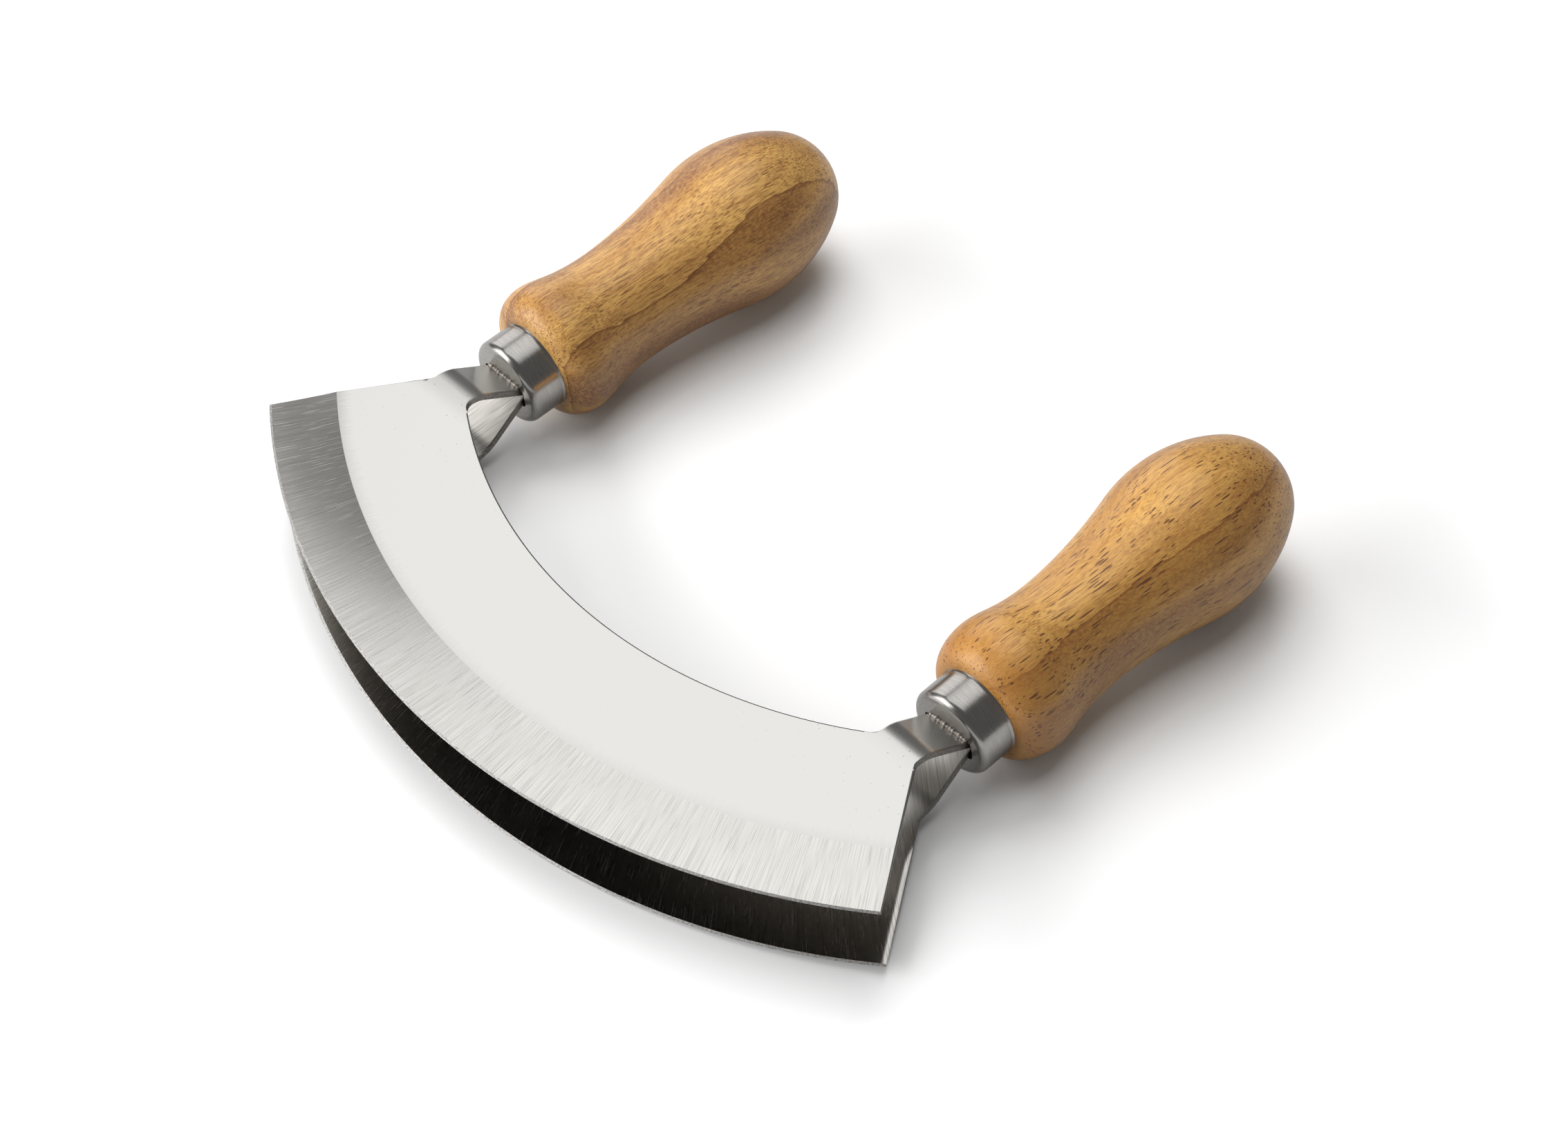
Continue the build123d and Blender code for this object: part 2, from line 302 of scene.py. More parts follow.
def make_piece(name, patches, finishes):
    """One closed mesh from grids of points in metres: points that meet are welded, each cell of a grid is a
    face, and the border between grids of different groups is sharp. Each grid has its own UV chart."""
    points, faces, places, groups, slots = [], [], [], [], []
    start = 0
    for patch in patches:
        spots = patch["points"]
        rows, columns = spots.shape[:2]
        index = start + np.arange(rows * columns).reshape(rows, columns)
        cells = [index[:-1, :-1], index[:-1, 1:], index[1:, 1:], index[1:, :-1]]
        cells = np.stack(cells, axis=-1).reshape(-1, 4)
        points.append(spots.reshape(-1, 3))
        places.append(patch["chart"].reshape(-1, 2))
        faces.append(cells)
        groups.append(np.full(len(cells), patch["group"]))
        slots.append(np.full(len(cells), patch["finish"]))
        start += rows * columns
    points, places, faces = np.concatenate(points), np.concatenate(places), np.concatenate(faces)
    groups, slots = np.concatenate(groups), np.concatenate(slots)
    weld = np.round(points / weld_gap).astype(np.int64)
    _, first, merged = np.unique(weld, axis=0, return_index=True, return_inverse=True)
    merged = merged.reshape(-1)
    corners = merged[faces]
    same = corners == np.roll(corners, -1, axis=1)
    whole, three = same.sum(axis=1) == 0, same.sum(axis=1) == 1
    keep = ~same[three]
    quads, triangles = corners[whole], corners[three][keep].reshape(-1, 3)
    mesh = bpy.data.meshes.new(name)
    mesh.from_pydata(points[first].tolist(), [], quads.tolist() + triangles.tolist())
    order = np.concatenate([faces[whole].reshape(-1), faces[three][keep].reshape(-1)])
    layer = mesh.uv_layers.new(name="surface")
    layer.uv.foreach_set("vector", places[order].astype(np.float32).reshape(-1))
    group = np.concatenate([groups[whole], groups[three]])
    slot = np.concatenate([slots[whole], slots[three]])
    mesh.polygons.foreach_set("material_index", slot.astype(np.int32))
    mesh.attributes.new("group", "INT", "FACE").data.foreach_set("value", group.astype(np.int32))
    net = bmesh.new()
    net.from_mesh(mesh)
    bmesh.ops.recalc_face_normals(net, faces=net.faces)
    net.to_mesh(mesh)
    net.free()
    mark_borders(mesh)
    for finish in finishes:
        mesh.materials.append(finish)
    piece = bpy.data.objects.new(name, mesh)
    bpy.context.scene.collection.objects.link(piece)
    return piece


def mark_borders(mesh):
    """Shades every face smooth, and makes sharp each edge whose two faces are of different groups."""
    loops = len(mesh.loops)
    edge_of = np.zeros(loops, np.int32)
    mesh.loops.foreach_get("edge_index", edge_of)
    count = np.zeros(len(mesh.polygons), np.int32)
    mesh.polygons.foreach_get("loop_total", count)
    group = np.zeros(len(mesh.polygons), np.int32)
    mesh.attributes["group"].data.foreach_get("value", group)
    group_of = np.repeat(group, count)
    lowest = np.full(len(mesh.edges), group.max() + 1)
    highest = np.full(len(mesh.edges), -1)
    np.minimum.at(lowest, edge_of, group_of)
    np.maximum.at(highest, edge_of, group_of)
    mesh.edges.foreach_set("use_edge_sharp", lowest != highest)
    mesh.polygons.foreach_set("use_smooth", np.ones(len(mesh.polygons), bool))
    mesh.update()


def blank_grid():
    """Plan of the crescent as one grid. Rows follow circles from the edge to the bevel's shoulder, then run
    straight to the top line: the right neck's root, the spine's arc, and the left neck's root."""
    outer, inner, root = plan_lines()
    right = neck_grid(outer, inner, root)[0]
    left = right[::-1] * (-1, 1)
    spine_centre = np.array([0.0, -spine_centre_drop])
    from_centre = right[-1] - spine_centre
    reach = math.atan2(from_centre[0], -from_centre[1])
    a = np.linspace(reach, -reach, spine_columns + 1)[1:-1, None]
    spine = spine_centre + spine_radius * np.hstack([np.sin(a), -np.cos(a)])
    top = np.concatenate([right, spine, left])
    root = root_share * np.linspace(0, 1, root_columns + 1) ** root_crowding
    middle = np.linspace(root_share, 1 - root_share, spine_columns + 1)[1:-1]
    share = np.concatenate([root, middle, 1 - root[::-1]])
    land = edge_radius - edge_land
    bevel = np.linspace(land, edge_radius - bevel_width, bevel_rows + 1)
    radius = np.concatenate([[edge_radius], bevel])[:, None]
    angle = end_angle(radius) * (1 - 2 * share)
    ground = radius[..., None] * np.stack([np.sin(angle), -np.cos(angle)], axis=-1)
    flat_width = edge_radius - bevel_width - spine_radius - spine_centre_drop
    t = np.linspace(0, 1 - break_width / flat_width, flat_rows)[1:]
    t = np.concatenate([t, [1.0]])[:, None, None]
    flat = ground[-1] + (top - ground[-1]) * t
    return np.concatenate([ground, flat]), radius[:, 0]


def neck_grid(outer, inner, root):
    """Plan of a neck and tang as a grid: each row is level in Y, from the outer line to the inner one."""
    face = -ferrule_front_drop + tang_shoulder_end
    tip = min(outer[-1, 1], inner[-1, 1])
    rows = np.concatenate([np.linspace(root, face, neck_rows + 1), np.linspace(face, tip, tang_rows + 1)[1:]])
    start = np.interp(rows, outer[:, 1], outer[:, 0])[:, None]
    end = np.interp(rows, inner[:, 1], inner[:, 0])[:, None]
    border = break_width / neck_width
    share = np.concatenate([[0.0], np.linspace(border, 1 - border, root_columns - 1), [1.0]])
    x = start + (end - start) * share
    return np.stack([x, np.broadcast_to(rows[:, None], x.shape)], axis=-1)


def bevel_height(radius):
    """Height of the ground face over the blade's inner face: a straight fall from the shoulder to the land,
    less a hollow of four times its depth times share times (1 - share)."""
    share = (radius - (edge_radius - bevel_width)) / (bevel_width - edge_land)
    return sheet + (land_thickness - sheet) * share - 4 * hollow_depth * share * (1 - share)


def end_roll(plan):
    """Height of the inner face where the press rolled its border over at the end edges: depth * (1 - d /
    width) squared for a distance d from the end edge, fading out towards the neck and in from the land."""
    corner = edge_radius * np.array([math.sin(edge_half_angle), -math.cos(edge_half_angle)])
    rising = np.array([-math.sin(end_edge_lean), math.cos(end_edge_lean)])
    place = plan * np.where(plan[..., :1] < 0, (-1, 1), (1, 1)) - corner
    along = place @ rising
    away = np.abs(place @ np.array([rising[1], -rising[0]]))
    close = np.clip(1 - away / roll_width, 0, 1) ** 2
    high = np.clip((along[-1, 0] - along) / roll_fade, 0, 1)
    low = np.clip(along / edge_land, 0, 1)
    return roll_depth * close * high**2 * (3 - 2 * high) * low


def ground_chart(points):
    """UV place in metres for a blade's steel: length round the arc's centre, and distance from it."""
    x, y = points[..., 0], points[..., 1]
    return np.stack([np.arctan2(x, -y) * edge_radius, np.hypot(x, y)], axis=-1) * MM


def blade_piece(name, up):
    """A blade: the plan's grids lifted to the sheet's outer and inner faces, and joined by its sides."""
    plan, radius = blank_grid()
    outer_line, inner_line = sheet_lines()
    outer_height = np.full(len(plan), sheet)
    outer_height[: len(radius)] = bevel_height(radius)
    outer_height[0] = apex_height
    spread = np.ones(plan.shape[1])
    outer = np.dstack([plan, outer_height[:, None] * spread])
    inner_height = end_roll(plan)
    inner_height[0] = apex_height
    inner = np.dstack([plan, inner_height])
    shoulder = len(radius) - 1
    columns = plan.shape[1]
    spine = slice(root_columns, columns - root_columns)
    roots = slice(0, root_columns + 1), slice(columns - root_columns - 1, columns)
    outer[1:-1, [0, -1], 2] -= break_depth
    outer[-1, root_columns + 1 : columns - root_columns - 1, 2] -= break_depth
    inner[-1, root_columns + 1 : columns - root_columns - 1, 2] += break_depth
    patches = [
        (outer[:2], 0, LAND),
        (outer[1 : shoulder + 1, 1:-1], 1, BEVEL),
        (outer[1 : shoulder + 1, :2], 7, BEVEL),
        (outer[1 : shoulder + 1, -2:], 7, BEVEL),
        (outer[shoulder:-1, 1:-1], 2, FLAT),
        (outer[shoulder:-1, :2], 7, FLAT),
        (outer[shoulder:-1, -2:], 7, FLAT),
        (outer[-2:, roots[0]], 2, FLAT),
        (outer[-2:, spine], 7, FLAT),
        (outer[-2:, roots[1]], 2, FLAT),
        (inner[:2], 3, LAND),
        (inner[1:-1], 4, INNER),
        (inner[-2:, roots[0]], 4, INNER),
        (inner[-2:, spine], 8, INNER),
        (inner[-2:, roots[1]], 4, INNER),
        (np.stack([outer[:, 0], inner[:, 0]]), 5, SIDE),
        (np.stack([outer[:, -1], inner[:, -1]]), 5, SIDE),
        (np.stack([outer[-1, spine], inner[-1, spine]]), 5, SIDE),
    ]
    right = neck_grid(*plan_lines())
    for neck in (right, right[:, ::-1] * (-1, 1)):
        top = np.dstack([neck, np.interp(neck[..., 1], *outer_line.T)])
        base = np.dstack([neck, np.interp(neck[..., 1], *inner_line.T)])
        top[1:, [0, -1], 2] -= break_depth
        base[1:, [0, -1], 2] += break_depth
        patches += [
            (top[:, 1:-1], 2, FLAT),
            (top[:, :2], 7, FLAT),
            (top[:, -2:], 7, FLAT),
            (base[:, 1:-1], 4, INNER),
            (base[:, :2], 8, INNER),
            (base[:, -2:], 8, INNER),
            (np.stack([top[:, 0], base[:, 0]]), 5, SIDE),
            (np.stack([top[:, -1], base[:, -1]]), 5, SIDE),
            (np.stack([top[-1], base[-1]]), 6, SIDE),
        ]
    made = [
        {
            "points": on_table(in_blade(spots, up)),
            "chart": ground_chart(spots),
            "group": group,
            "finish": finish,
        }
        for spots, group, finish in patches
    ]
    return make_piece(name, made, blade_finishes)


def slot_reach(angle):
    """Distance from the ferrule's axis to the slot's rounded outline, at each angle round the axis."""
    half_width = neck_width / 2 + slot_side_room
    half_height = neck_drop_top + slot_height_room
    corners = half_width * np.array([1, 1, -1, -1, 1, 1]), half_height * np.array([0, 1, 1, -1, -1, 0])
    outline = rounded(np.stack(corners, axis=-1), [slot_corner] * 4)
    share = np.linspace(0, 1, slot_steps, endpoint=False)[:, None]
    spots = outline[:-1, None] + np.diff(outline, axis=0)[:, None] * share
    outline = np.concatenate([spots.reshape(-1, 2), outline[-1:]])
    turn = np.unwrap(np.arctan2(outline[:, 1], outline[:, 0]))
    return np.interp(angle, turn, np.hypot(outline[:, 0], outline[:, 1]))


def ferrule_piece(name, side):
    """A ferrule: its section (front face, rolled rim, barrel, flared lip, bore) turned round its axis, with
    the front face open from the slot's outline."""
    angle = np.linspace(0, 2 * math.pi, ring_columns + 1)
    slot = slot_reach(angle)
    ring = np.ones(len(angle))
    rim_start = ferrule_radius - ferrule_rim_round
    lip_start = ferrule_length - lip_width
    bore = ferrule_radius - ferrule_wall
    t = np.linspace(0, 1, face_rows + 1)[:, None]
    a = np.linspace(0, math.pi / 2, rim_rows + 1)[:, None]
    face = (slot + (rim_start - slot) * t, 0 * t * ring)
    rim = (
        (rim_start + ferrule_rim_round * np.sin(a)) * ring,
        ferrule_rim_round * (1 - np.cos(a)) * ring,
    )
    barrel = (
        ferrule_radius * (t * 0 + 1) * ring,
        (ferrule_rim_round + (lip_start - ferrule_rim_round) * t) * ring,
    )
    lip = ((ferrule_radius + lip_flare * t**2) * ring, (lip_start + lip_width * t) * ring)
    outside = [np.concatenate([part[k] for part in (face, rim, barrel, lip)]) for k in (0, 1)]
    back = np.array([ferrule_radius + lip_flare, bore])[:, None] * ring
    rear = [back, np.full_like(back, ferrule_length)]
    corner = (
        (bore - ferrule_bore_round + ferrule_bore_round * np.cos(a)) * ring,
        (ferrule_wall + ferrule_bore_round * (1 - np.sin(a))) * ring,
    )
    inside = [
        np.concatenate([bore * ring[None], corner[0], slot[None]]),
        np.concatenate([ferrule_length * ring[None], corner[1], ferrule_wall * ring[None]]),
    ]
    mouth = [np.stack([slot, slot]), np.stack([ferrule_wall * ring, 0 * ring])]
    patches = []
    for group, (radius, station) in enumerate((outside, rear, inside, mouth)):
        spots = np.stack([radius * np.cos(angle), station, radius * np.sin(angle)], axis=-1)
        spots[:, -1] = spots[:, 0]
        step = np.hypot(np.diff(radius[:, 0]), np.diff(station[:, 0]))
        run = np.concatenate([[0], np.cumsum(step)])[:, None] * ring
        patches.append(
            {
                "points": on_table(along_handle(spots, side)),
                "chart": np.stack([angle * ferrule_radius * (radius * 0 + 1), run], axis=-1) * MM,
                "group": group,
                "finish": 0,
            }
        )
    return make_piece(name, patches, [ferrule_steel])


def clamped_spline(knots, values, first_slope, last_slope, at):
    """Cubic through the knots with given end slopes: the slopes at the knots solve the usual tridiagonal
    equations for an unbroken second derivative, and each span is the cubic Hermite of its ends."""
    step = np.diff(knots)
    rise = np.diff(values) / step
    count = len(knots)
    system, right = np.eye(count), np.zeros(count)
    right[0], right[-1] = first_slope, last_slope
    for k in range(1, count - 1):
        system[k, k - 1 : k + 2] = step[k], 2 * (step[k - 1] + step[k]), step[k - 1]
        right[k] = 3 * (step[k] * rise[k - 1] + step[k - 1] * rise[k])
    slope = np.linalg.solve(system, right)
    span = np.clip(np.searchsorted(knots, at) - 1, 0, count - 2)
    t = (at - knots[span]) / step[span]
    return (
        values[span] * (1 + 2 * t) * (1 - t) ** 2
        + values[span + 1] * t**2 * (3 - 2 * t)
        + slope[span] * step[span] * t * (1 - t) ** 2
        - slope[span + 1] * step[span] * t**2 * (1 - t)
    )


def arc_between(centre, radius, start, end):
    """Arc of a section about its centre, from one angle to another, without its first point."""
    a = np.linspace(start, end, arc_steps + 1)[1:]
    return np.stack([centre[0] + radius * np.cos(a), centre[1] + radius * np.sin(a)], axis=-1)


def handle_section(shoulder_depth):
    """Half section of a handle as (radius, station): an elliptic shoulder, a spline over fall and waist, the
    bulb's arc, and the nose's smaller arc that ends on the axis."""
    face = ferrule_length + fit_line
    crest = face + shoulder_depth
    bulb, nose = crest + bulb_station, crest + grip_length
    chord = dome_length**2 + bulb_radius**2
    arc = (chord - 2 * dome_length * nose_radius) / (2 * (bulb_radius - nose_radius))
    rise = math.sqrt(arc**2 - bulb_lead**2)
    a = np.linspace(0, math.pi / 2, arc_steps + 1)[1:]
    wide = shoulder_radius - face_radius
    shoulder = np.stack([face_radius + wide * np.sin(a), crest - shoulder_depth * np.cos(a)], axis=-1)
    knots = crest + np.array([0.0, fall_station, waist_station, bulb_station - bulb_lead])
    radii = np.array([shoulder_radius, fall_radius, waist_radius, bulb_radius - arc + rise])
    at = np.linspace(crest, bulb - bulb_lead, grip_rows + 1)[1:]
    grip = np.stack([clamped_spline(knots, radii, 0.0, bulb_lead / rise, at), at], axis=-1)
    arc_centre = np.array([bulb_radius - arc, bulb])
    nose_centre = np.array([0.0, nose - nose_radius])
    toward = nose_centre - arc_centre
    joint = math.atan2(toward[1], toward[0])
    belly = arc_between(arc_centre, arc, -math.asin(bulb_lead / arc), joint)
    tip = arc_between(nose_centre, nose_radius, joint, math.pi / 2)
    tip[-1] = (0.0, nose)
    start = np.array([[ferrule_radius - ferrule_wall - fit_line, face], [face_radius, face]])
    return np.concatenate([start, shoulder, grip, belly, tip])


def handle_piece(name, side):
    """A handle: its section, and those of its spigot and blind bore, carried round the axis."""
    outside = handle_section(shoulder_depths[name.split("_")[0]])
    mouth = ferrule_length + fit_line - spigot_length
    spigot = np.array([[bore_mouth_radius, mouth], [ferrule_radius - ferrule_wall - fit_line, mouth]])
    post = np.array([spigot[1], outside[0]])
    bore = np.array(
        [
            (0.0, mouth + bore_depth + drill_point_depth),
            (bore_radius, mouth + bore_depth),
            (bore_radius, mouth + bore_mouth_depth),
            (bore_mouth_radius, mouth),
        ]
    )
    angle = np.linspace(0, 2 * math.pi, handle_columns + 1)
    patches = []
    for group, section in enumerate((outside, post, spigot, bore)):
        radius, station = section[:, :1], section[:, 1:]
        spots = np.stack(
            [radius * np.cos(angle), station + angle * 0, radius * np.sin(angle)], axis=-1
        )
        spots[:, -1] = spots[:, 0]
        patches.append(
            {
                "points": on_table(along_handle(spots, side)),
                "chart": np.stack([angle * waist_radius + radius * 0, station + angle * 0], axis=-1) * MM,
                "group": group,
                "finish": 0,
            }
        )
    return make_piece(name, patches, [handle_woods[name]])


def bead_piece(name, side):
    """Bead of resin squeezed out where an upper tang enters its slot: a closed tube along the slot's edge,
    flat against the face, whose size swells as 1 + 0.3 sin 5s + 0.25 sin(13s + 1) and closes at both ends
    as the root of 1 - t^8."""
    t = np.linspace(-1, 1, bead_rows + 1)[:, None]
    angle = np.linspace(0, 2 * math.pi, bead_columns + 1)
    s = t * math.pi + side
    swell = (1 + 0.3 * np.sin(5 * s) + 0.25 * np.sin(13 * s + 1)) * np.sqrt(np.clip(1 - t**8, 0, 1))
    spots = np.stack(
        [
            bead_reach * t + 0 * angle,
            bead_radius * (bead_flat_share * swell * np.cos(angle) - bead_proud_share),
            neck_drop_top + bead_radius * (bead_lift_share + swell * np.sin(angle)),
        ],
        axis=-1,
    )
    spots[:, -1] = spots[:, 0]
    chart = np.stack([bead_reach * t + 0 * angle, angle * bead_radius + 0 * t], axis=-1) * MM
    patch = {"points": on_table(along_handle(spots, side)), "chart": chart, "group": 0, "finish": 0}
    return make_piece(name, [patch], [bead_resin])


def colour(code):
    """Linear RGBA of an sRGB hex value."""
    parts = np.array([int(code[k : k + 2], 16) for k in (1, 3, 5)]) / 255
    low, high = parts / 12.92, ((parts + 0.055) / 1.055) ** 2.4
    return (*np.where(parts <= 0.04045, low, high).tolist(), 1.0)


def add(tree, kind, sockets=None, stops=(), **settings):
    """Adds one node: settings are its properties, sockets its inputs, each a value or the node or output
    that feeds it, and stops the (place, colour) pairs of a ramp."""
    made = tree.nodes.new(kind)
    for key, value in settings.items():
        setattr(made, key, value)
    for key, value in (sockets or {}).items():
        source = value.outputs[0] if isinstance(value, bpy.types.Node) else value
        if isinstance(source, bpy.types.NodeSocket):
            tree.links.new(source, made.inputs[key])
        else:
            made.inputs[key].default_value = source
    for _ in stops[2:]:
        made.color_ramp.elements.new(0.5)
    for number, (place, tint) in enumerate(stops):
        made.color_ramp.elements[number].position = place
        made.color_ramp.elements[number].color = colour(tint)
    return made


def new_finish(name, **shader):
    """A material with one Principled shader, whose constant values are set on its own sockets."""
    finish = bpy.data.materials.new(name)
    finish.use_nodes = True
    tree = finish.node_tree
    tree.nodes.clear()
    body = add(tree, "ShaderNodeBsdfPrincipled", {key.replace("_", " "): v for key, v in shader.items()})
    add(tree, "ShaderNodeOutputMaterial", {"Surface": body})
    return finish, tree, body


def per(*lengths):
    """Scale along each axis that makes a pattern's unit this long, in millimetres."""
    return tuple(1 / (length * MM) for length in lengths)


def own_place(tree, origin, turn):
    """Object coordinates carried into a frame that stands at an origin of the table's frame."""
    sockets = {
        "Vector": add(tree, "ShaderNodeTexCoord").outputs["Object"],
        "Location": origin,
        "Rotation": turn.to_euler("XYZ"),
    }
    return add(tree, "ShaderNodeMapping", sockets, vector_type="TEXTURE")


def blade_place(tree):
    """Place in the tool's frame, its station along Y, and a share that rises from none to one as the finish
    gives way to satin before the necks' bend."""
    place = own_place(tree, table_shift * MM, Matrix.Rotation(table_tilt, 3, "X"))
    station = add(tree, "ShaderNodeSeparateXYZ", {0: place}).outputs[1]
    start, end = (neck_bend - satin_lead) * MM, (neck_bend - satin_end) * MM
    return place, station, add(tree, "ShaderNodeMapRange", {0: station, 1: start, 2: end})


def polished_flat():
    """Stainless sheet polished to a mirror, with pits near the necks. The ends of the bevel's scratches run
    into it, and round the necks' bend the polish gives way to satin, with fine lines along the bend."""
    finish, tree, body = new_finish("polished_stainless_sheet", Metallic=1.0)
    place, station, satin = blade_place(tree)
    chart = add(tree, "ShaderNodeUVMap", uv_map="surface")
    narrow = add(tree, "ShaderNodeMapping", {"Vector": chart, "Scale": per(0.17, 9.0, 1.0)})
    hairs = add(tree, "ShaderNodeTexNoise", {"Vector": narrow, "Scale": 1.0, "Detail": 3.0, "Roughness": 0.6})
    reach = add(tree, "ShaderNodeSeparateXYZ", {0: chart}).outputs[1]
    ragged = add(tree, "ShaderNodeMath", {0: hairs, 1: ragged_reach * MM, 2: reach}, operation="MULTIPLY_ADD")
    shoulder = edge_radius - bevel_width + ragged_reach / 2
    start, end = (shoulder - ragged_before) * MM, (shoulder + ragged_after) * MM
    ends = add(tree, "ShaderNodeMapRange", {0: ragged, 1: start, 2: end})
    waves = add(tree, "ShaderNodeTexNoise", {"Vector": place, "Scale": per(40)[0], "Detail": 1.0})
    stretched = add(tree, "ShaderNodeMapping", {"Vector": place, "Scale": per(5.0, 0.16, 0.16)})
    lines = add(tree, "ShaderNodeTexNoise", {"Vector": stretched, "Scale": 1.0, "Detail": 3.0})
    pits = add(tree, "ShaderNodeTexVoronoi", {"Vector": place, "Scale": per(1.7)[0]})
    pit = add(tree, "ShaderNodeMapRange", {0: pits, 1: 0.05, 2: 0.11, 3: 1.0, 4: 0.0})
    pitted = {0: station, 1: (neck_bend - pitted_lead) * MM, 2: neck_bend * MM, 3: 0.0, 4: 0.8}
    near = add(tree, "ShaderNodeMapRange", pitted)
    speck = add(tree, "ShaderNodeMath", {0: pit, 1: near}, operation="MULTIPLY")
    tone = {0: ends, 6: colour("#CCCBC8"), 7: colour("#C6C4C0")}
    shade = add(tree, "ShaderNodeMix", tone, data_type="RGBA").outputs[2]
    tone = {0: speck, 6: shade, 7: colour("#8F8C87")}
    tree.links.new(add(tree, "ShaderNodeMix", tone, data_type="RGBA").outputs[2], body.inputs["Base Color"])
    gloss = add(tree, "ShaderNodeMapRange", {0: satin, 1: 0.0, 2: 1.0, 3: 0.07, 4: 0.28})
    rougher = add(tree, "ShaderNodeMath", {0: ends, 1: 0.08, 2: gloss}, operation="MULTIPLY_ADD")
    tree.links.new(rougher.outputs[0], body.inputs["Roughness"])
    soft = add(tree, "ShaderNodeBump", {"Height": waves, "Distance": 0.012 * MM})
    lined = add(tree, "ShaderNodeMath", {0: lines, 1: satin}, operation="MULTIPLY")
    fine = add(tree, "ShaderNodeBump", {"Height": lined, "Distance": 0.0012 * MM, "Normal": soft})
    haired = add(tree, "ShaderNodeMath", {0: hairs, 1: ends}, operation="MULTIPLY")
    scratched = add(tree, "ShaderNodeBump", {"Height": haired, "Distance": 0.0012 * MM, "Normal": fine})
    tree.links.new(scratched.outputs[0], body.inputs["Normal"])
    return finish


def ground_steel(name, dark, light, roughness, depth, spread, lean):
    """Stainless steel ground on a belt that ran from the spine to the edge: dense hairlines along the radius
    or leaning from it, so that its gloss spreads along the arc, and a few deeper scratches. The hairlines
    are drawn coarser than the belt's grit, so that they show."""
    finish, tree, body = new_finish(name, Metallic=1.0, Anisotropic=spread)
    satin = blade_place(tree)[2]
    chart = add(tree, "ShaderNodeUVMap", uv_map="surface")
    leaning = add(tree, "ShaderNodeMapping", {"Vector": chart, "Rotation": (0.0, 0.0, lean)})
    layers = {}
    for layer, size, detail in (
        ("hairs", (0.2, 14.0, 1.0), 3.0),
        ("rolls", (1.6, 20.0, 1.0), 2.0),
        ("deep", (0.16, 9.0, 1.0), 1.0),
    ):
        sized = add(tree, "ShaderNodeMapping", {"Vector": leaning, "Scale": per(*size)})
        layers[layer] = add(tree, "ShaderNodeTexNoise", {"Vector": sized, "Scale": 1.0, "Detail": detail})
    tangent = add(tree, "ShaderNodeTangent", direction_type="UV_MAP", uv_map="surface")
    tree.links.new(tangent.outputs[0], body.inputs["Tangent"])
    ground = add(tree, "ShaderNodeValToRGB", {0: layers["hairs"]}, stops=((0.3, dark), (0.6, light)))
    bare = add(tree, "ShaderNodeMapRange", {0: satin, 3: 1.0, 4: 0.15})
    scratch = add(tree, "ShaderNodeMapRange", {0: layers["deep"], 1: 0.66, 2: 0.7, 3: 0.0, 4: 1.0})
    share = add(tree, "ShaderNodeMath", {0: scratch, 1: 0.15}, operation="MULTIPLY")
    tone = {0: share, 6: ground, 7: colour("#8F8A84")}
    tree.links.new(add(tree, "ShaderNodeMix", tone, data_type="RGBA").outputs[2], body.inputs["Base Color"])
    gloss = add(tree, "ShaderNodeMapRange", {0: satin, 3: roughness, 4: 0.38})
    rougher = add(tree, "ShaderNodeMath", {0: scratch, 1: 0.2, 2: gloss}, operation="MULTIPLY_ADD")
    tree.links.new(rougher.outputs[0], body.inputs["Roughness"])
    rolled = {0: layers["rolls"], 1: 1.2, 2: layers["hairs"]}
    rolled = add(tree, "ShaderNodeMath", rolled, operation="MULTIPLY_ADD")
    summed = add(tree, "ShaderNodeMath", {0: scratch, 1: rolled})
    left = add(tree, "ShaderNodeMath", {0: summed, 1: bare}, operation="MULTIPLY")
    cut = add(tree, "ShaderNodeBump", {"Height": left, "Distance": depth * MM})
    tree.links.new(cut.outputs[0], body.inputs["Normal"])
    return finish


def sheared_side():
    """Side of the stainless sheet as the blanking press left it, linished: grey, satin, slightly uneven."""
    finish, tree, body = new_finish("linished_sheet_side", Metallic=1.0, Roughness=0.34)
    place = add(tree, "ShaderNodeTexCoord").outputs["Object"]
    marks = add(tree, "ShaderNodeTexNoise", {"Vector": place, "Scale": per(0.5)[0], "Detail": 3.0})
    tone = add(tree, "ShaderNodeValToRGB", {0: marks}, stops=((0.3, "#7A7570"), (0.7, "#A5A09A")))
    tree.links.new(tone.outputs[0], body.inputs["Base Color"])
    rough = add(tree, "ShaderNodeBump", {"Height": marks, "Distance": 0.02 * MM})
    tree.links.new(rough.outputs[0], body.inputs["Normal"])
    return finish


def honed_land():
    """Fine land at the edge, off a coarse stone: bright, with facets that glitter."""
    finish, tree, body = new_finish("honed_edge_land", Metallic=1.0, Roughness=0.5)
    chart = add(tree, "ShaderNodeUVMap", uv_map="surface")
    sized = add(tree, "ShaderNodeMapping", {"Vector": chart, "Scale": per(0.5, 0.35, 1.0)})
    facets = add(tree, "ShaderNodeTexNoise", {"Vector": sized, "Scale": 1.0, "Detail": 3.0, "Roughness": 0.7})
    tone = add(tree, "ShaderNodeValToRGB", {0: facets}, stops=((0.35, "#B0ADA9"), (0.6, "#EDEBE7")))
    tree.links.new(tone.outputs[0], body.inputs["Base Color"])
    rough = add(tree, "ShaderNodeBump", {"Height": facets, "Distance": 0.08 * MM})
    tree.links.new(rough.outputs[0], body.inputs["Normal"])
    return finish


